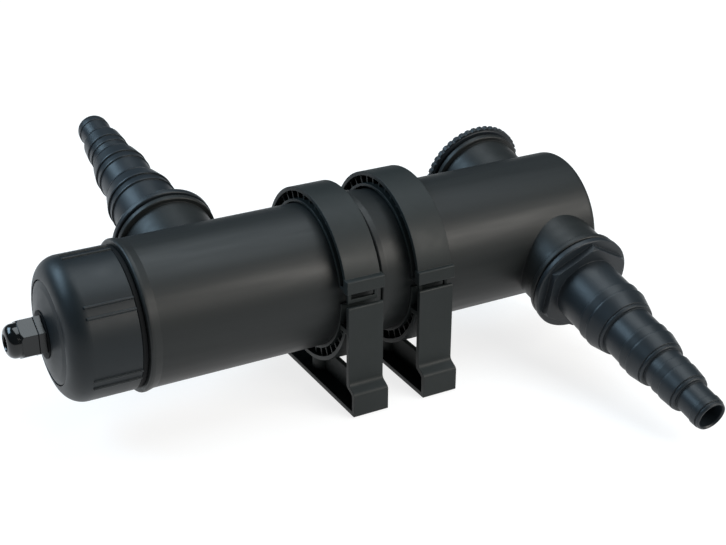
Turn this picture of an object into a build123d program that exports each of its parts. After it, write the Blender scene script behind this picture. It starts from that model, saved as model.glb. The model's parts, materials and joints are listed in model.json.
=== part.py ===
from build123d import *
import math
import os

# UV water clarifier: a closed tube with three hose ports, a plug-in lamp unit held by a
# union nut, and two hinged tube clamps to stand on. All sizes are in millimetres.
# The origin is the middle of the object's footprint, with the feet at z = 0.
# +X runs along the tube from the lamp end to the closed end, and -Y is the front.

# Tube
axis_height = 62.2  # tube axis above the clamp feet
tube_radius = 40.0
tube_length = 275.7  # mouth to closed end
tube_wall = 3.6
end_wall = 4.5
gland_reach = 62.0  # cable gland tip, ahead of the tube mouth
collar_radius = 41.0  # raised ring at the mouth
collar_length = 6.5
neck_length = 24.0  # threaded neck ahead of the mouth, under the nut
neck_radius = 35.3
neck_bore = 31.6
joint_start = 131.5  # moulded socket joint between the tube's two halves
joint_length = 17.0
joint_bulge = 1.6  # its bell stands out most near its open end
glue_gap = 0.05

# Hose ports
port_tilt = 13.5  # degrees, front port down and rear ports up
left_port = 46.0  # rear port near the lamp end, from the mouth
right_ports = 251.7  # front port and capped port, from the mouth
stub_radius = 26.7
stub_end = 56.0  # end face of a port stub, from the tube axis
bead_radius = 29.3
bead_length = 3.5
port_bore = 20.0
port_thread_pitch = 4.0
port_thread_turns = 4
port_thread_radius = 23.2  # crest of the screwed-in spigots
gasket_thickness = 1.4

# Hose tails
tail_flange_radius = 29.9
tail_flange_face = 61.0
hex_corner_radius = 28.0
hex_face = 65.2
hose_radii = [20.0, 16.0, 12.5, 9.7]
hose_step_ends = [105.0, 136.5, 160.4, 177.7]  # from the tube axis
barb_rise = 0.04  # height of a barb as a part of its step's radius
barb_spacing = 6.0
barb_to_end = 11.6  # last barb to the end of its step
last_barb_to_end = 6.3  # the same on the smallest step
shoulder_end_radii = [16.8, 13.5, 10.9, 8.6]
tail_bore_radius = 7.3

# Blanking cap on the third port
cap_radius = 32.0
cap_face = 61.5
cap_teeth = 46

# Union nut
nut_radius = 38.4
nut_skirt_end = -3.4
nut_dome_radius = 11.6
nut_dome_start = -27.9
nut_opening = 27.8
nut_shoulder = -30.5  # inner face that pulls on the slip ring
nut_thread_radius = 35.8
nut_pitch = 5.0
nut_turns = 4
grip_pairs = 6
grip_first_angle = 54.5  # degrees from the top towards the front
grip_half_spread = 4.3

# Lamp head
cover_radius = 27.4
cover_rim = -39.1
cover_face = -42.4
head_flange_radius = 34.4
plug_radius = 31.2
head_cavity = 19.5
holder_radius = 23.3
holder_seat = -22.0
board_seat = -27.0

# Cable gland
gland_flange = -43.0
gland_thread = 7.9
gland_hex = 11.2  # corner radius of its two hexagons
gland_dome = 9.0
cable_hole = 4.2

# Quartz sleeve and lamp
sleeve_radius = 16.0
sleeve_wall = 1.4
sleeve_start = 2.0
sleeve_end = 248.0
limb_radius = 6.0
limb_offset = 6.75
lamp_length = 212.0
lamp_wall = 1.0

# Clamps
clamp_starts = {"left": 106.3, "right": 149.8}  # near face of each clamp, from the mouth
clamp_width = 20.9
clamp_ajar = {"left": 0.4, "right": 1.4}  # degrees that each strap stands open
block_bottom = {"left": 7.8, "right": 1.8}  # the left strap is sprung up at its front end
band_outer = 48.8
band_thickness = 2.2
strap_inner = 40.4
cradle_inner = 40.1
inner_band = 1.6
rib_step = 9.0  # degrees between the band's radial ribs
rib_thickness = 1.2
rib_recess = 2.4  # the ribs stop short of the clamp's side faces
hinge_y = 48.5
hinge_radius = 4.2
pin_radius = 2.0
upright_face = 50.2
upright_thickness = 2.6
upright_top = 0.7
foot_reach = 56.5
foot_flare_top = -45.5
foot_flare_bottom = -48.5
foot_plate = 2.6
web_thickness = 2.6
web_window_near = 15.0
web_window_far = 46.4
web_window_bottom = -46.6
screw_radius = 2.4
tongue_drop = 6.9  # catch tongue below the block
tongue_window = 4.7
block_height = 7.4
block_proud = 1.6
block_extra_width = 1.4

# Places
mouth_x = gland_reach - (gland_reach + right_ports + cap_radius) / 2
tube_place = Plane(origin=(mouth_x, 0, axis_height), x_dir=(0, 0, 1), z_dir=(1, 0, 0))
port_forward = Vector(0, -1, 0).rotate(Axis.X, port_tilt)


def port_place(along, side):
    """Frame of a port: its Z axis runs out of the tube, side is 1 for front and -1 for rear."""
    return Plane(origin=(mouth_x + along, 0, axis_height), x_dir=(1, 0, 0), z_dir=port_forward * side)


front_port = port_place(right_ports, 1)
capped_port = port_place(right_ports, -1)
rear_port = port_place(left_port, -1)


def turned(outline, place):
    """Solid of revolution from (along, radius) or (along, radius, corner rounding) points."""
    corners = [(point[1], point[0]) for point in outline]
    rounding = [point[2] if len(point) == 3 else 0 for point in outline]
    section = make_face(FilletPolyline(*corners, radius=rounding, close=True))
    return place * revolve(Plane.XZ * section, Axis.Z)


def ring(start, end, inner, outer, place):
    return turned([(start, inner), (end, inner), (end, outer), (start, outer)], place)


def disc(start, end, radius, place):
    return turned([(start, 0), (end, 0), (end, radius), (start, radius)], place)


def o_ring(along, mean_radius, cord_radius, place):
    section = Pos(mean_radius, along) * Circle(cord_radius)
    return place * revolve(Plane.XZ * section, Axis.Z)


def thread_points(start, pitch, turns, root, crest):
    """Outline of plain ridges that stand for a moulded thread."""
    points = []
    for turn in range(turns):
        base = start + turn * pitch
        points += [(base + 0.15 * pitch, root), (base + 0.35 * pitch, crest)]
        points += [(base + 0.65 * pitch, crest), (base + 0.85 * pitch, root)]
    return points


def prism(section, start, length, place=tube_place):
    """A section drawn across an axis, extruded along it."""
    return place * extrude(Pos(0, 0, start) * section, length)


nodes = {}


# ---------------------------------------------------------------- tube
def port_outside(place):
    bead_start = stub_end - bead_length
    outline = [(0, 0), (stub_end, 0), (stub_end, bead_radius, 0.8), (bead_start, bead_radius, 0.8)]
    outline += [(bead_start, stub_radius), (0, stub_radius)]
    return turned(outline, place)


def port_inside(place):
    """Passage into the tube and the female thread at the port's mouth."""
    thread_depth = port_thread_pitch * port_thread_turns
    root = port_thread_radius + 1.3
    crest = port_thread_radius + 0.3
    thread_start = stub_end - thread_depth
    outline = [(0, 0), (0, port_bore), (thread_start - 0.5, port_bore), (thread_start - 0.5, root)]
    outline += thread_points(thread_start, port_thread_pitch, port_thread_turns, root, crest)
    outline += [(stub_end + 1, root), (stub_end + 1, 0)]
    return turned(outline, place)


def tube_halves():
    bore = tube_radius - tube_wall
    spigot = (tube_radius + bore) / 2
    joint_end = joint_start + joint_length
    mouth = [(collar_length, tube_radius), (2.5, collar_radius, 1.5), (0, collar_radius, 1.2)]
    mouth += [(0, neck_radius - 1)]
    neck_thread = thread_points(-neck_length + 1, nut_pitch, nut_turns, neck_radius - 1, neck_radius)
    neck = neck_thread[::-1] + [(-neck_length, neck_radius - 1), (-neck_length, neck_bore)]
    inlet = [(joint_start, tube_radius)] + mouth + neck + [(2, neck_bore), (8, bore), (joint_end, bore)]
    inlet += [(joint_end, spigot - glue_gap), (joint_start, spigot - glue_gap)]
    inlet_tube = turned(inlet, tube_place) + port_outside(rear_port)
    inlet_tube -= disc(8.0, joint_end, bore, tube_place)
    inlet_tube -= port_inside(rear_port)

    outlet = [(joint_start + glue_gap, 0), (tube_length, 0), (tube_length, tube_radius, 3.0)]
    outlet += [(joint_end, tube_radius), (joint_start + glue_gap, tube_radius)]
    bell = [(joint_start + glue_gap, 0), (joint_start + glue_gap, tube_radius + joint_bulge - 0.4, 1.2)]
    bell += [(joint_start + 4.0, tube_radius + joint_bulge, 3.0), (joint_end, tube_radius), (joint_end, 0)]
    outlet_tube = turned(outlet, tube_place) + turned(bell, tube_place)
    outlet_tube += port_outside(front_port) + port_outside(capped_port)
    inside = [(joint_start, 0), (joint_start, spigot), (joint_end, spigot), (joint_end, bore)]
    inside += [(tube_length - end_wall, bore, 4.0), (tube_length - end_wall, 0)]
    outlet_tube -= turned(inside, tube_place)
    outlet_tube -= port_inside(front_port)
    outlet_tube -= port_inside(capped_port)
    return inlet_tube, outlet_tube


nodes["inlet_tube"], nodes["outlet_tube"] = tube_halves()
neck_gasket = [(nut_skirt_end + 0.1, neck_radius + 0.1), (-0.05, neck_radius + 0.1)]
neck_gasket += [(-0.05, nut_radius - 0.3, 0.8), (nut_skirt_end + 0.1, nut_radius - 0.3, 0.8)]
nodes["neck_gasket"] = turned(neck_gasket, tube_place)


def sleeve_centring_ring():
    """Spoked ring that holds the far end of the quartz sleeve in the middle of the tube."""
    start, length = 222.0, 9.0
    rim_radius = tube_radius - tube_wall - 0.05
    rim = ring(start, start + length, rim_radius - 2.4, rim_radius, tube_place)
    hub = ring(start, start + length, sleeve_radius + 0.5, sleeve_radius + 3.0, tube_place)
    body = rim + hub
    for angle in (90, 210, 330):
        spoke = Rot(0, 0, angle) * Pos(26.5, 0) * Rectangle(17, 2.4)
        body += prism(spoke, start, length)
    return body


nodes["sleeve_centring_ring"] = sleeve_centring_ring()


# ---------------------------------------------------------------- hose tails and port cap
def spigot_outline(face):
    """Male thread that screws into a port, up to the face that closes on the gasket."""
    start = stub_end - port_thread_pitch * port_thread_turns
    root = port_thread_radius - 1
    outline = [(start, root)]
    outline += thread_points(start, port_thread_pitch, port_thread_turns - 1, root, port_thread_radius)
    return outline + [(face, root)]


def hose_step(start, end, radius, last_radius, barbs):
    """One hose size: a plain stretch, its barbs, and a tapered shoulder that ends in a small lip."""
    rise = barb_rise * radius
    plain = radius - rise
    points = [(start, plain)]
    for barb in barbs:
        points += [(barb, plain), (barb, radius), (barb + 1.0, radius)]
        plain = radius - 1.25 * rise
    groove = end - 2.4
    lip = end - 1.5
    points += [(groove, last_radius + 0.85), (groove, last_radius + 0.2), (lip, last_radius + 0.2)]
    return points + [(lip, last_radius + 0.6, 0.2), (end, last_radius, 0.6)]


def hose_steps_outline():
    outline = []
    start = hex_face
    for step, (radius, end) in enumerate(zip(hose_radii, hose_step_ends)):
        if step < len(hose_radii) - 1:
            barbs = [end - barb_to_end - barb_spacing, end - barb_to_end]
        else:
            barbs = [end - last_barb_to_end]
        outline += hose_step(start, end, radius, shoulder_end_radii[step], barbs)
        start = end
    return outline


def hexagon_collar(place):
    """Six-sided spanner collar on the flange, with its corners turned off."""
    hexagon = RegularPolygon(hex_corner_radius, 6, rotation=30)
    inner = port_bore - 2.5
    turned_off = [(tail_flange_face, inner), (hex_face, inner)]
    turned_off += [(hex_face, hex_corner_radius - 1.2), (tail_flange_face, hex_corner_radius + 1)]
    return prism(hexagon, tail_flange_face, hex_face - tail_flange_face, place) & turned(turned_off, place)


def hose_tail(place):
    gasket_face = stub_end + gasket_thickness
    outline = spigot_outline(gasket_face)
    outline += [(gasket_face, tail_flange_radius, 0.8), (tail_flange_face, tail_flange_radius, 0.8)]
    outline += [(tail_flange_face, hose_radii[0] * (1 - barb_rise))]
    outline += hose_steps_outline()
    spigot_start = stub_end - port_thread_pitch * port_thread_turns
    tip = hose_step_ends[-1]
    bore = [(tip, tail_bore_radius + 0.6), (tip - 1, tail_bore_radius), (158.0, tail_bore_radius)]
    bore += [(150.0, 9.6), (134.0, 9.8), (123.0, 12.8), (103.0, 13.0), (88.0, 16.6)]
    bore += [(62.0, 17.0), (48.0, 19.0), (spigot_start, 19.0)]
    return turned(outline + bore, place) + hexagon_collar(place)


def port_gasket(place):
    start = stub_end + 0.05
    return ring(start, start + gasket_thickness - 0.1, port_thread_radius + 0.1, bead_radius - 0.9, place)


def port_cap(place):
    gasket_face = stub_end + gasket_thickness
    spigot_start = stub_end - port_thread_pitch * port_thread_turns
    inner_face = cap_face - 3.2
    outline = spigot_outline(gasket_face)
    outline += [(gasket_face, 30.4, 0.5), (cap_face, 30.4, 0.5), (cap_face, 0)]
    outline += [(inner_face, 0), (inner_face, 19.0), (spigot_start, 19.0)]
    body = turned(outline, place)
    rim = Circle(cap_radius) - Circle(29.0)
    for tooth in range(cap_teeth):
        angle = tooth * 360 / cap_teeth
        rim -= Rot(0, 0, angle) * Pos(cap_radius + 0.35, 0) * Circle(1.15)
    return body + prism(rim, gasket_face + 0.5, cap_face - gasket_face - 1.0, place)


nodes["front_hose_tail"] = hose_tail(front_port)
nodes["rear_hose_tail"] = hose_tail(rear_port)
nodes["front_tail_gasket"] = port_gasket(front_port)
nodes["rear_tail_gasket"] = port_gasket(rear_port)
nodes["port_cap"] = port_cap(capped_port)
nodes["port_cap_gasket"] = port_gasket(capped_port)


# ---------------------------------------------------------------- union nut
def cap_nut():
    root = nut_thread_radius + 0.8
    dome_centre = nut_radius - nut_dome_radius
    dome_tip = nut_dome_start - math.sqrt(nut_dome_radius**2 - (dome_centre - nut_opening) ** 2)
    dome_step = nut_dome_radius * math.sin(math.radians(45))
    thread = thread_points(-23.5, nut_pitch, nut_turns, root, nut_thread_radius)
    outline = Polyline(
        (nut_opening, dome_tip),
        (nut_opening, nut_shoulder),
        (nut_thread_radius - 0.2, nut_shoulder),
        *[(radius, along) for along, radius in thread],
        (root, nut_skirt_end),
        (nut_radius, nut_skirt_end),
        (nut_radius, nut_dome_start),
    )
    dome = ThreePointArc(
        outline @ 1,
        (dome_centre + dome_step, nut_dome_start - dome_step),
        outline @ 0,
    )
    body = tube_place * revolve(Plane.XZ * make_face(outline + dome), Axis.Z)
    rib_length = nut_skirt_end - nut_dome_start + 0.9
    for pair in range(grip_pairs):
        for side in (-1, 1):
            angle = grip_first_angle + pair * 360 / grip_pairs + side * grip_half_spread
            bar = Rot(0, 0, angle) * Pos(nut_radius, 0) * RectangleRounded(2.0, 1.4, 0.6)
            body += prism(bar, nut_dome_start - 0.9, rib_length)
    return body


nodes["cap_nut"] = cap_nut()
nodes["nut_slip_ring"] = ring(nut_shoulder + 0.1, nut_shoulder + 1.3, 28.2, 34.6, tube_place)


# ---------------------------------------------------------------- lamp head
def lamp_head():
    """Moulding with the flange that the nut clamps, the plug in the neck and the sleeve's socket."""
    flange_face = nut_shoulder + 1.4
    flange_back = -neck_length - 0.1
    outline = [(cover_rim + 2.4, 24.5), (cover_rim + 2.4, 26.9), (flange_face, 26.9)]
    outline += [(flange_face, head_flange_radius), (flange_back, head_flange_radius)]
    outline += [(flange_back, plug_radius - 2.0), (-17.0, plug_radius - 2.0), (-17.0, plug_radius)]
    outline += [(-13.6, plug_radius), (-13.6, 28.7), (-10.4, 28.7), (-10.4, plug_radius)]
    outline += [(-7.0, plug_radius), (-7.0, plug_radius - 2.6), (5.0, plug_radius - 2.6)]
    outline += [(5.0, 26.9), (-20.0, 26.9), (-20.0, 21.6), (5.0, 21.6), (5.0, 19.6), (14.0, 19.6)]
    outline += [(14.0, sleeve_radius + 0.3), (0.0, sleeve_radius + 0.3), (0.0, head_cavity)]
    outline += [(holder_seat, head_cavity), (holder_seat, holder_radius + 0.2)]
    outline += [(board_seat, holder_radius + 0.2), (board_seat, 24.5)]
    body = turned(outline, tube_place)
    for side in (-1, 1):
        body -= holder_screw(side, 1.0)
    return body


def holder_screw(side, radius):
    """Shank of one of the two screws beside the lamp holder."""
    return Pos(0, 0, side * 21.3) * disc(holder_seat - 3.0, holder_seat + 1.6, radius, tube_place)


def end_cover():
    """Shallow domed disc that fills the nut's opening and carries the cable gland."""
    outline = [(cover_face, gland_thread + 0.2), (cover_face, 14.0, 2.0), (cover_rim - 1.2, 24.0, 6.0)]
    outline += [(cover_rim, cover_radius, 0.6), (cover_rim + 2.3, cover_radius), (cover_rim + 2.3, 24.3)]
    outline += [(cover_rim + 7.9, 24.3), (cover_rim + 7.9, 22.8), (cover_rim + 1.9, 22.8)]
    outline += [(cover_face + 2.8, 14.0), (cover_face + 2.8, gland_thread + 0.2)]
    return turned(outline, tube_place)


nodes["lamp_head"] = lamp_head()
nodes["end_cover"] = end_cover()
nodes["head_o_ring"] = o_ring(-12.0, 30.1, 1.4, tube_place)


# ---------------------------------------------------------------- quartz sleeve and lamp
def quartz_sleeve():
    outer_dome = sleeve_end - sleeve_radius
    bore = sleeve_radius - sleeve_wall
    outer = Line((sleeve_radius, sleeve_start), (sleeve_radius, outer_dome))
    outer_end = ThreePointArc(
        outer @ 1,
        (sleeve_radius * math.sin(math.radians(45)), outer_dome + sleeve_radius * math.cos(math.radians(45))),
        (0, sleeve_end),
    )
    inner_end = ThreePointArc(
        (0, sleeve_end - sleeve_wall),
        (bore * math.sin(math.radians(45)), outer_dome + bore * math.cos(math.radians(45))),
        (bore, outer_dome),
    )
    inner = Line(inner_end @ 1, (bore, sleeve_start))
    tip = Line(outer_end @ 1, inner_end @ 0)
    rim = Line(inner @ 1, outer @ 0)
    section = make_face(outer + outer_end + tip + inner_end + inner + rim)
    return tube_place * revolve(Plane.XZ * section, Axis.Z)


def limb_outline(inset):
    """Outline of one limb of the lamp, drawn smaller by the inset."""
    radius = limb_radius - inset
    return [(0.3, 0), (0.3, radius), (lamp_length - inset, radius, 3.5 - inset), (lamp_length - inset, 0)]


def lamp_glass():
    """Two parallel thin-walled limbs with rounded ends, joined by a short bridge near the far end."""
    limbs = []
    for inset in (0.0, lamp_wall):
        one = turned(limb_outline(inset), tube_place)
        limbs.append(Pos(0, limb_offset, 0) * one + Pos(0, -limb_offset, 0) * one)
    middle = (mouth_x + lamp_length - 10, 0, axis_height)
    bridge = Plane(origin=middle, x_dir=(1, 0, 0), z_dir=(0, 1, 0))
    outside = limbs[0] + disc(-limb_offset, limb_offset, 3.2, bridge)
    return outside - limbs[1] - disc(-limb_offset, limb_offset, 3.2 - lamp_wall, bridge)


def two_pins(start, end, radius, spread):
    pins = []
    for side in (-1, 1):
        pins.append(Pos(0, side * spread, 0) * disc(start, end, radius, tube_place))
    return Compound(children=pins)


nodes["quartz_sleeve"] = quartz_sleeve()
nodes["sleeve_seal"] = ring(14.1, 17.0, sleeve_radius + 0.05, 19.4, tube_place)
sleeve_nut_outline = [(6.0, 20.0), (17.1, 20.0), (17.1, sleeve_radius + 0.4), (20.5, sleeve_radius + 0.4)]
sleeve_nut_outline += [(20.5, 24.0, 1.5), (6.0, 24.0)]
nodes["sleeve_nut"] = turned(sleeve_nut_outline, tube_place)
nodes["lamp_glass"] = lamp_glass()
nodes["lamp_base"] = prism(RectangleRounded(18, 30, 5), -16.0, 16.2)
nodes["lamp_pins"] = two_pins(-21.5, -16.0, 1.1, 11.5)


def lamp_holder():
    """Lamp socket: a round flange screwed to the head, and a block with the two contacts."""
    body = disc(holder_seat - 3.0, holder_seat, holder_radius, tube_place)
    body += prism(RectangleRounded(20, 32, 3), holder_seat, -16.1 - holder_seat)
    for side in (-1, 1):
        body -= Pos(0, side * 11.5, 0) * disc(-22.0, -16.0, 1.15, tube_place)
        body -= holder_screw(side, 1.1)
    return body


nodes["lamp_holder"] = lamp_holder()


def holder_screws():
    screws = []
    for side in (-1, 1):
        head = Pos(0, 0, side * 21.3) * disc(holder_seat - 4.2, holder_seat - 3.0, 1.7, tube_place)
        screws.append(head + holder_screw(side, 0.98))
    return Compound(children=screws)


def lamp_spacer():
    """Rubber disc round both limbs of the lamp, halfway along."""
    section = Circle(sleeve_radius - sleeve_wall - 0.3)
    for side in (-1, 1):
        section -= Pos(0, side * limb_offset) * Circle(limb_radius + 0.02)
    section -= Rectangle(5, 14)
    return prism(section, 150.0, 6.0)


nodes["holder_screws"] = holder_screws()
nodes["lamp_spacer"] = lamp_spacer()


# ---------------------------------------------------------------- ballast
def ballast():
    """Driver board across the head, with its parts on the cover side."""
    face = board_seat - 1.7
    board = disc(face, board_seat - 0.1, 24.2, tube_place)
    coil = Pos(0, 0, 15.5) * o_ring(face - 2.2, 4.1, 2.1, tube_place)
    capacitors = []
    for angle in (65, 115):
        spot = Rot(0, 0, angle) * Pos(17.0, 0) * Circle(4.0)
        capacitors.append(prism(spot, face - 7.6, 7.5))
    transformer = prism(Pos(-15.5, 0) * RectangleRounded(9, 13, 1), face - 6.4, 6.3)
    leads = []
    for side in (-1, 1):
        leads.append(Pos(0, side * 8.0, 0) * disc(board_seat - 0.1, holder_seat - 3.0, 0.9, tube_place))
    return board, coil, Compound(children=capacitors), transformer, Compound(children=leads)


(
    nodes["ballast_board"],
    nodes["ballast_coil"],
    nodes["ballast_capacitors"],
    nodes["ballast_transformer"],
    nodes["lamp_leads"],
) = ballast()


# ---------------------------------------------------------------- cable gland
def hexagon_bar(start, end, corner_radius, place):
    return prism(RegularPolygon(corner_radius, 6), start, end - start, place)


def gland_body():
    """Threaded body of the gland, with the hexagon that bears on the cover."""
    body = hexagon_bar(gland_flange - 3.8, gland_flange, gland_hex, tube_place)
    body += disc(gland_flange - 11.0, cover_face + 8.4, gland_thread, tube_place)
    inside = [(-75.0, 0), (-75.0, 6.0), (gland_flange - 5.0, 6.0), (gland_flange - 5.0, cable_hole)]
    inside += [(-30.0, cable_hole), (-30.0, 0)]
    return body - turned(inside, tube_place)


def gland_cap():
    """Domed clamping nut of the gland, with the cable's hole in its tip."""
    start = gland_flange - 4.1
    shoulder = start - 8.4
    tip = -gland_reach
    body = hexagon_bar(shoulder, start, gland_hex - 0.2, tube_place)
    corners_off = [(shoulder, 0), (shoulder, gland_hex - 1.2), (shoulder + 1.2, gland_hex)]
    body &= turned(corners_off + [(start, gland_hex), (start, 0)], tube_place)
    body += turned([(shoulder, 0), (shoulder, gland_dome), (tip, gland_dome, 4.6), (tip, 0)], tube_place)
    bore = gland_thread + 0.3
    inside = [(start, 0), (start, bore), (shoulder - 0.5, bore), (shoulder - 3.2, cable_hole + 0.8)]
    inside += [(tip + 0.8, cable_hole), (tip, cable_hole + 0.6), (tip, 0)]
    return body - turned(inside, tube_place)


def gland_locknut():
    nut = hexagon_bar(cover_face + 2.9, cover_face + 6.4, gland_hex, tube_place)
    return nut - disc(cover_face + 2, cover_face + 7, gland_thread + 0.05, tube_place)


nodes["gland_washer"] = ring(gland_flange, cover_face, gland_thread + 0.1, 12.6, tube_place)
nodes["gland_body"] = gland_body()
nodes["gland_locknut"] = gland_locknut()
nodes["gland_cap"] = gland_cap()
nodes["gland_seal"] = ring(gland_flange - 13.0, gland_flange - 5.1, 3.4, 5.8, tube_place)


# ---------------------------------------------------------------- clamps
def sector(start, end):
    """Wedge about the tube axis. Angles run from the rear, over the top, to the front."""
    steps = 12
    reach = 2 * band_outer
    angles = [math.radians(start + (end - start) * step / steps) for step in range(steps + 1)]
    rim = [(reach * math.cos(a), reach * math.sin(a)) for a in angles]
    return make_face(Polyline((0, 0), *rim, close=True))


def band(inner, outer, start, end):
    return (Circle(outer) - Circle(inner)) & sector(start, end)


def double_band(inner, start, end, inner_start, inner_end):
    """Section of the outer and inner bands."""
    section = band(band_outer - band_thickness, band_outer, start, end)
    return section + band(inner, inner + inner_band, inner_start, inner_end)


def band_ribs(inner, start, end):
    """Section of the radial ribs that join the two bands."""
    outer_inside = band_outer - band_thickness
    count = int((end - start) // rib_step)
    section = None
    for rib in range(count + 1):
        angle = start + 1.5 + rib * rib_step
        middle = (inner + outer_inside) / 2 + 0.5
        bar = Rot(0, 0, angle) * Pos(middle, 0) * Rectangle(outer_inside - inner, rib_thickness)
        section = bar if section is None else section + bar
    return section


def box_section(y_low, y_high, z_low, z_high):
    return Pos((y_low + y_high) / 2, (z_low + z_high) / 2) * Rectangle(y_high - y_low, z_high - z_low)


def clamp_plane(start):
    """Frame of a clamp's sections: X is to the rear, Y is up and Z runs along the tube."""
    return Plane(origin=(mouth_x + start, 0, axis_height), x_dir=(0, 1, 0), z_dir=(1, 0, 0))


def upright(side, top):
    """Section of a side wall with its flared foot. Side is -1 at the front, 1 at the rear."""
    floor = -axis_height
    inner = upright_face - upright_thickness
    inner_foot = foot_reach - upright_thickness
    points = [(upright_face, top), (upright_face, foot_flare_top)]
    points += [(foot_reach, foot_flare_bottom), (foot_reach, floor), (inner_foot, floor)]
    points += [(inner_foot, foot_flare_bottom - 1.4), (inner, foot_flare_top - 1.4), (inner, top)]
    rounding = [1.25, 3.0, 2.5, 0.8, 0, 1.5, 2.0, 1.25]
    return make_face(FilletPolyline(*[(side * y, z) for y, z in points], radius=rounding, close=True))


def clamp_base(start):
    """Lower half of a tube clamp, with its two uprights, web, foot plate and screw pillar."""
    place = clamp_plane(start)
    floor = -axis_height
    knuckle = Pos(hinge_y, 0) * Circle(hinge_radius)
    rear_top = -4.0
    profile = double_band(cradle_inner, 197.0, 343.0, 180.3, 359.0)
    profile += upright(-1, upright_top) + upright(1, rear_top)
    profile += box_section(-foot_reach + 0.8, foot_reach - 0.8, floor, floor + foot_plate)
    profile += box_section(-upright_face + 1, -41.0, -15.4, -12.6) - Circle(cradle_inner)
    profile += box_section(40.6, upright_face - 1, -15.4, -12.6) - Circle(cradle_inner)
    body = prism(profile, 0, clamp_width, place)
    ribs = band_ribs(cradle_inner, 197.0, 343.0)
    body += prism(ribs, rib_recess, clamp_width - 2 * rib_recess, place)
    neck = box_section(upright_face - 4.6, upright_face, -7.0, 0.0) + knuckle
    body += prism(neck, 0, clamp_width, place)
    gap = Pos(hinge_y, 0) * Circle(hinge_radius + 0.6)
    body -= prism(gap, clamp_width / 3 - 0.3, clamp_width / 3 + 0.6, place)

    web = box_section(-upright_face + 1, upright_face - 1, floor + 1, 0) - Circle(band_outer - 1)
    for side in (-1, 1):
        window = Pos(side * (web_window_near + web_window_far) / 2, -32.0)
        window *= Rectangle(web_window_far - web_window_near, 2 * (-32.0 - web_window_bottom))
        web -= window - Circle(band_outer + 0.1)
    web -= box_section(-upright_face, upright_face, -13, 1)
    body += prism(web, (clamp_width - web_thickness) / 2, web_thickness, place)

    pillar = Plane(origin=(mouth_x + start + clamp_width / 2, 0, 0))
    body += disc(0.5, axis_height - cradle_inner - 0.8, 6.4, pillar)
    body -= disc(-1, axis_height, screw_radius, pillar)
    body -= disc(9.0, axis_height, 4.9, pillar)
    return body - hinge_bar(start, pin_radius, -clamp_width, 3 * clamp_width)


def hinge_bar(start, radius, near, length):
    """Round bar along a clamp's hinge, for the pin and the holes that it sits in."""
    bar = Cylinder(radius, length, align=(Align.CENTER, Align.CENTER, Align.MIN))
    return Pos(mouth_x + start + near, hinge_y, axis_height) * Rot(0, 90, 0) * bar


def clamp_strap(start, ajar, bottom):
    """Upper half of a tube clamp, hinged at the rear, with a catch tongue at the front."""
    place = clamp_plane(start)
    block_top = bottom + block_height
    seam_angle = 180 - math.degrees(math.asin(block_top / band_outer))
    inner_end = 180 - math.degrees(math.asin(max(bottom, 0.8) / strap_inner))
    block_back = band_outer - band_thickness - 1.0
    profile = double_band(strap_inner, 9.0, seam_angle, 4.5, inner_end)
    profile += box_section(-block_back, -strap_inner + 0.6, bottom, bottom + 1.8)
    profile += box_section(strap_inner + 0.4, band_outer - 1.4, 4.2, 8.4) & Circle(band_outer)
    hinge_gap = Pos(hinge_y, 0) * Circle(hinge_radius + 0.6)
    profile = profile - hinge_gap - Circle(strap_inner)
    ribs = band_ribs(strap_inner, 9.0, seam_angle) - hinge_gap
    body = prism(profile, 0, clamp_width, place)
    body += prism(ribs, rib_recess, clamp_width - 2 * rib_recess, place)

    block_face = band_outer + block_proud
    block = make_face(
        FilletPolyline(
            (-block_back, bottom),
            (-block_face, bottom),
            (-block_face, block_top),
            (-block_back, block_top),
            radius=[0, 0.8, 0.8, 0],
            close=True,
        )
    )
    body += prism(block, -block_extra_width / 2, clamp_width + block_extra_width, place)

    tongue = box_section(-46.6, -45.0, bottom - tongue_drop, bottom + 0.5)
    window = box_section(-48.0, -44.0, bottom - tongue_window, bottom)
    body += prism(tongue, 1.6, clamp_width - 3.2, place) - prism(window, 3.4, clamp_width - 6.8, place)

    knuckle = Pos(hinge_y, 0) * Circle(hinge_radius) + box_section(43.6, hinge_y, 0.9, 7.0)
    knuckle -= Circle(strap_inner + 2.0)
    body += prism(knuckle, clamp_width / 3, clamp_width / 3, place)
    body -= hinge_bar(start, pin_radius + 0.05, -clamp_width, 3 * clamp_width)
    hinge_axis = Axis((mouth_x + start, hinge_y, axis_height), (1, 0, 0))
    return body.rotate(hinge_axis, -ajar)


for clamp, start in clamp_starts.items():
    nodes["clamp_base_" + clamp] = clamp_base(start)
    nodes["clamp_strap_" + clamp] = clamp_strap(start, clamp_ajar[clamp], block_bottom[clamp])
    nodes["hinge_pin_" + clamp] = hinge_bar(start, pin_radius - 0.01, 0, clamp_width)


# ---------------------------------------------------------------- one file for each sub-part
os.makedirs("parts", exist_ok=True)
for name, node in nodes.items():
    export_step(node, f"parts/{name}.step")
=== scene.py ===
import json
import math

import bpy
from mathutils import Euler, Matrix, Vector

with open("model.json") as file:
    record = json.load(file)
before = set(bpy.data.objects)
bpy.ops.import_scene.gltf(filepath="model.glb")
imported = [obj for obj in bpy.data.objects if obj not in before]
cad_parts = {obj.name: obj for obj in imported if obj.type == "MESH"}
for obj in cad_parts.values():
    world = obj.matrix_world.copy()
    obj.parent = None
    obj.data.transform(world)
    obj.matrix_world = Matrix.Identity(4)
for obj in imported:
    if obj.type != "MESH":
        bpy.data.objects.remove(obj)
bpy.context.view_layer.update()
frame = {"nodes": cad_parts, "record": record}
nodes = frame["nodes"]

# Camera: place and clipping in metres, turn in degrees, lens and sensor in millimetres.
CAMERA_PLACE = (-0.3145, -0.6258, 0.3961)
CAMERA_TURN = (64.50, -0.234, -28.835)
LENS = 69.443
SENSOR_WIDTH = 36.0
NEAR_CLIP = 0.05
FAR_CLIP = 100.0

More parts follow.
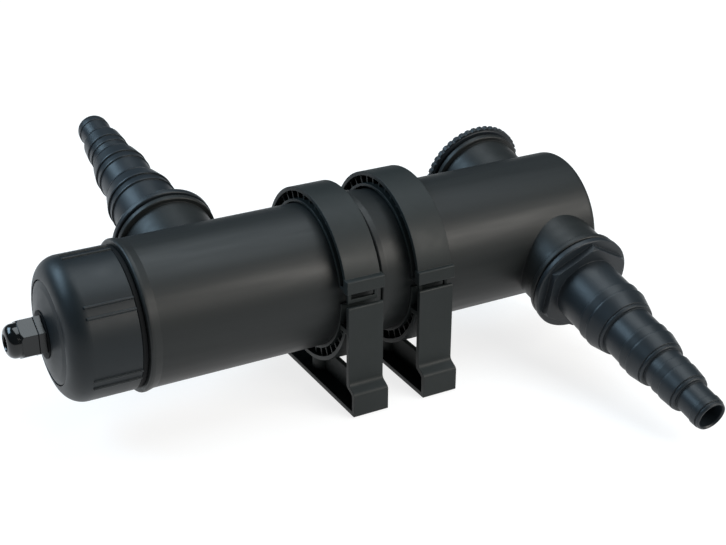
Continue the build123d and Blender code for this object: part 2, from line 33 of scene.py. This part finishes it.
# Floor: its drop keeps it just under the feet.
FLOOR_WIDTH = 60.0
FLOOR_DROP = 0.0005
FLOOR_GREY = (0.26, 0.26, 0.26)
FLOOR_ROUGHNESS = 0.9
FLOOR_GLOW = 0.8

# Studio lights: name, azimuth and elevation in degrees, size in metres, power in watts, colour.
LIGHTS = (
    ("top_light", 20, 76, (1.4, 0.9), 18, (0.86, 0.95, 1.0)),
    ("front_light", -56, 28, (1.1, 0.5), 20, (1.0, 0.96, 0.9)),
    ("left_light", 142, 40, (1.0, 0.6), 19, (0.56, 0.8, 1.0)),
)
LIGHT_TARGET = Vector((0, 0, 0.06))
LIGHT_DISTANCE = 1.5
ROOM_COLOUR = (0.8, 0.92, 1.0)
ROOM_STRENGTH = 0.12

# Painted edge highlight: it starts at 8 degrees between the rounded and the flat surface, and is full at
# 41.
PAINTED_HIGHLIGHT_COSINE = 0.75
FLAT_COSINE = 0.99
EDGE_SAMPLES = 6
GRAIN_STRENGTH = 0.35

GLASS_CLEARNESS = 0.95
GLASS_REFRACTION = 1.46
GLASS_UNEVENNESS = 2.5
METAL_SHADE = 0.8

# Sockets of a colour Mix node, which share their names.
MIX_SHARE = 0
MIX_FIRST = 6
MIX_SECOND = 7
MIX_RESULT = 2


# ---------------------------------------------------------------- camera, floor and light
def make_camera():
    data = bpy.data.cameras.new("camera")
    data.lens = LENS
    data.sensor_width = SENSOR_WIDTH
    data.clip_start = NEAR_CLIP
    data.clip_end = FAR_CLIP
    camera = bpy.data.objects.new("camera", data)
    camera.location = CAMERA_PLACE
    camera.rotation_euler = Euler([math.radians(angle) for angle in CAMERA_TURN])
    bpy.context.collection.objects.link(camera)
    bpy.context.scene.camera = camera


def make_floor():
    """Pale table that glows a little, so shadows on it stay faint."""
    bpy.ops.mesh.primitive_plane_add(size=FLOOR_WIDTH, location=(0, 0, -FLOOR_DROP))
    floor = bpy.context.object
    floor.name = "floor"
    material, _, shader = new_material("floor_white")
    shader.inputs["Base Color"].default_value = (*FLOOR_GREY, 1)
    shader.inputs["Roughness"].default_value = FLOOR_ROUGHNESS
    shader.inputs["Specular IOR Level"].default_value = 0.0
    shader.inputs["Emission Color"].default_value = (1, 1, 1, 1)
    shader.inputs["Emission Strength"].default_value = FLOOR_GLOW
    floor.data.materials.append(material)


def soft_box(name, azimuth, elevation, size, power, colour):
    """Studio light that faces the middle of the object."""
    turn, rise = math.radians(azimuth), math.radians(elevation)
    direction = Vector((
        math.cos(rise) * math.cos(turn),
        math.cos(rise) * math.sin(turn),
        math.sin(rise),
    ))
    data = bpy.data.lights.new(name, "AREA")
    data.shape = "RECTANGLE"
    data.size, data.size_y = size
    data.energy = power
    data.color = colour
    light = bpy.data.objects.new(name, data)
    light.location = LIGHT_TARGET + direction * LIGHT_DISTANCE
    light.rotation_euler = (-direction).to_track_quat("-Z", "Y").to_euler()
    bpy.context.collection.objects.link(light)


def make_room():
    """Faint even light from all around."""
    world = bpy.data.worlds.new("studio")
    world.use_nodes = True
    background = world.node_tree.nodes["Background"]
    background.inputs["Color"].default_value = (*ROOM_COLOUR, 1)
    background.inputs["Strength"].default_value = ROOM_STRENGTH
    bpy.context.scene.world = world


# ---------------------------------------------------------------- material nodes
def new_material(name):
    material = bpy.data.materials.new(name)
    material.use_nodes = True
    tree = material.node_tree
    return material, tree, tree.nodes["Principled BSDF"]


def noise(tree, scale, detail, stretch=(1, 1, 1)):
    coordinates = tree.nodes.new("ShaderNodeTexCoord")
    mapping = tree.nodes.new("ShaderNodeMapping")
    mapping.inputs["Scale"].default_value = stretch
    texture = tree.nodes.new("ShaderNodeTexNoise")
    texture.inputs["Scale"].default_value = scale
    texture.inputs["Detail"].default_value = detail
    tree.links.new(coordinates.outputs["Object"], mapping.inputs["Vector"])
    tree.links.new(mapping.outputs["Vector"], texture.inputs["Vector"])
    return texture.outputs["Fac"]


def spread(tree, value, low, high, low_in=0.3, high_in=0.7):
    """Maps a value onto the range from low to high."""
    node = tree.nodes.new("ShaderNodeMapRange")
    node.inputs["From Min"].default_value = low_in
    node.inputs["From Max"].default_value = high_in
    node.inputs["To Min"].default_value = low
    node.inputs["To Max"].default_value = high
    tree.links.new(value, node.inputs["Value"])
    return node.outputs["Result"]


def mix(tree, share, first, second):
    """Mixes two colours. The first is a plain colour or another node's output."""
    node = tree.nodes.new("ShaderNodeMix")
    node.data_type = "RGBA"
    tree.links.new(share, node.inputs[MIX_SHARE])
    if isinstance(first, tuple):
        node.inputs[MIX_FIRST].default_value = (*first, 1)
    else:
        tree.links.new(first, node.inputs[MIX_FIRST])
    node.inputs[MIX_SECOND].default_value = (*second, 1)
    return node.outputs[MIX_RESULT]


def edge_highlight_paint(tree, colour, edge_highlight_colour, radius):
    """Lightens the colour where the surface turns sharply: a painted highlight on the edges."""
    rounded = tree.nodes.new("ShaderNodeBevel")
    rounded.samples = EDGE_SAMPLES
    rounded.inputs["Radius"].default_value = radius
    geometry = tree.nodes.new("ShaderNodeNewGeometry")
    dot = tree.nodes.new("ShaderNodeVectorMath")
    dot.operation = "DOT_PRODUCT"
    tree.links.new(rounded.outputs["Normal"], dot.inputs[0])
    tree.links.new(geometry.outputs["Normal"], dot.inputs[1])
    # Painted highlight: the share of paler colour grows where the rounded normal leans away from the
    # flat one.
    highlight_share = spread(tree, dot.outputs["Value"], 1, 0, PAINTED_HIGHLIGHT_COSINE, FLAT_COSINE)
    return mix(tree, highlight_share, colour, edge_highlight_colour), rounded.outputs["Normal"]


def bump(tree, shader, height, distance, normal):
    """Raises a fine grain, on the softened edges where there are any."""
    node = tree.nodes.new("ShaderNodeBump")
    node.inputs["Strength"].default_value = GRAIN_STRENGTH
    node.inputs["Distance"].default_value = distance
    tree.links.new(height, node.inputs["Height"])
    if normal is not None:
        tree.links.new(normal, node.inputs["Normal"])
    tree.links.new(node.outputs["Normal"], shader.inputs["Normal"])


# ---------------------------------------------------------------- kinds of material
def moulded_plastic(name, dark, light, roughness, grain=2200, grain_depth=0.00003,
                    streak=(1, 1, 1), specular=0.5, edge_highlight_colour=None, edge=0.0005):
    """Moulded plastic: faint cloudy colour, uneven gloss, a fine mould grain, softer edges and a painted
    highlight that makes the edges paler.
    """
    material, tree, shader = new_material(name)
    clouds = spread(tree, noise(tree, scale=22, detail=4, stretch=streak), 0, 1)
    colour = mix(tree, clouds, dark, light)
    normal = None
    # When a paler edge colour is given, the edges get a painted highlight.
    if edge_highlight_colour:
        colour, normal = edge_highlight_paint(tree, colour, edge_highlight_colour, edge)
    tree.links.new(colour, shader.inputs["Base Color"])
    gloss = spread(tree, noise(tree, scale=60, detail=5, stretch=streak), *roughness)
    tree.links.new(gloss, shader.inputs["Roughness"])
    shader.inputs["Specular IOR Level"].default_value = specular
    bump(tree, shader, noise(tree, scale=grain, detail=2), grain_depth, normal)
    return material


def glass(name, colour, roughness):
    """Clear glass with an uneven polish."""
    material, tree, shader = new_material(name)
    shader.inputs["Base Color"].default_value = (*colour, 1)
    shader.inputs["Transmission Weight"].default_value = GLASS_CLEARNESS
    shader.inputs["IOR"].default_value = GLASS_REFRACTION
    polish = spread(tree, noise(tree, scale=80, detail=3), roughness, roughness * GLASS_UNEVENNESS)
    tree.links.new(polish, shader.inputs["Roughness"])
    return material


def metal(name, colour, roughness):
    """Metal with a slightly mottled colour and fine drawn streaks."""
    material, tree, shader = new_material(name)
    shaded = tuple(channel * METAL_SHADE for channel in colour)
    mottled = mix(tree, noise(tree, scale=300, detail=3), shaded, colour)
    tree.links.new(mottled, shader.inputs["Base Color"])
    streaks = spread(tree, noise(tree, scale=900, detail=2, stretch=(8, 1, 1)), *roughness)
    tree.links.new(streaks, shader.inputs["Roughness"])
    shader.inputs["Metallic"].default_value = 1.0
    return material


# ---------------------------------------------------------------- finishes
PLASTICS = {
    # The paler edge colour given in a finish is a painted highlight on its edges.
    "black_tube": dict(
        dark=(0.0086, 0.0102, 0.0106), light=(0.0116, 0.0132, 0.0134), roughness=(0.4, 0.5),
        grain=1800, grain_depth=0.00002, streak=(0.25, 3, 3), specular=0.24, edge_highlight_colour=(0.018, 0.02, 0.02)),
    "black_fitting": dict(
        dark=(0.0078, 0.0112, 0.0144), light=(0.0106, 0.0146, 0.0184), roughness=(0.38, 0.47),
        specular=0.3, edge_highlight_colour=(0.019, 0.025, 0.03)),
    # A darker copy of black_fitting: painted shade for the pieces at the −X end, where little light
    # falls.
    "black_nut": dict(
        dark=(0.0048, 0.0074, 0.0092), light=(0.0066, 0.0096, 0.0118), roughness=(0.4, 0.5),
        specular=0.25, edge_highlight_colour=(0.014, 0.019, 0.022)),
    "black_clamp": dict(
        dark=(0.0082, 0.0108, 0.011), light=(0.01, 0.013, 0.013), roughness=(0.46, 0.58),
        specular=0.24, edge_highlight_colour=(0.02, 0.024, 0.024)),
    "gland_plastic": dict(
        dark=(0.002, 0.0026, 0.003), light=(0.0035, 0.0045, 0.005), roughness=(0.1, 0.18),
        grain=900, grain_depth=0.00001, specular=0.4, edge_highlight_colour=(0.008, 0.009, 0.01), edge=0.0004),
    "black_rubber": dict(
        dark=(0.0025, 0.003, 0.0035), light=(0.004, 0.0048, 0.0055), roughness=(0.6, 0.75),
        grain=1500, grain_depth=0.00005, specular=0.12),
    "white_plastic": dict(dark=(0.72, 0.7, 0.65), light=(0.8, 0.78, 0.73), roughness=(0.35, 0.5)),
    "circuit_board": dict(dark=(0.02, 0.12, 0.05), light=(0.03, 0.16, 0.07), roughness=(0.3, 0.4)),
    "capacitor_sleeve": dict(dark=(0.02, 0.03, 0.1), light=(0.03, 0.04, 0.14), roughness=(0.2, 0.3)),
    "lead_wire": dict(dark=(0.3, 0.1, 0.05), light=(0.36, 0.14, 0.07), roughness=(0.3, 0.4)),
    "slip_ring": dict(dark=(0.6, 0.6, 0.56), light=(0.7, 0.7, 0.66), roughness=(0.4, 0.5)),
}
GLASSES = {
    "quartz_glass": dict(colour=(0.95, 0.98, 1.0), roughness=0.01),
    "lamp_glass": dict(colour=(0.93, 0.95, 0.97), roughness=0.03),
}
METALS = {
    "brass_pin": dict(colour=(0.78, 0.6, 0.3), roughness=(0.25, 0.4)),
    "steel_screw": dict(colour=(0.6, 0.6, 0.6), roughness=(0.2, 0.4)),
    "copper_winding": dict(colour=(0.6, 0.26, 0.1), roughness=(0.25, 0.4)),
}
# These two pieces face the −X end, where little light falls, and get a darker copy of the fitting
# finish: painted shade.
PAINTED_SHADE_PIECES = {"cap_nut": "black_nut", "end_cover": "black_nut"}


def finish_pieces():
    """Gives every piece the finish that its material slot names."""
    finishes = {name: moulded_plastic(name, **values) for name, values in PLASTICS.items()}
    finishes.update({name: glass(name, **values) for name, values in GLASSES.items()})
    finishes.update({name: metal(name, **values) for name, values in METALS.items()})
    for part in frame["record"]["subparts"]:
        finish = PAINTED_SHADE_PIECES.get(part["node"], part["material_slot"])
        mesh = nodes[part["node"]].data
        mesh.materials.clear()
        mesh.materials.append(finishes[finish])


# ---------------------------------------------------------------- scene
bpy.context.scene.view_settings.view_transform = "Standard"
make_camera()
make_floor()
for light in LIGHTS:
    soft_box(*light)
make_room()
finish_pieces()
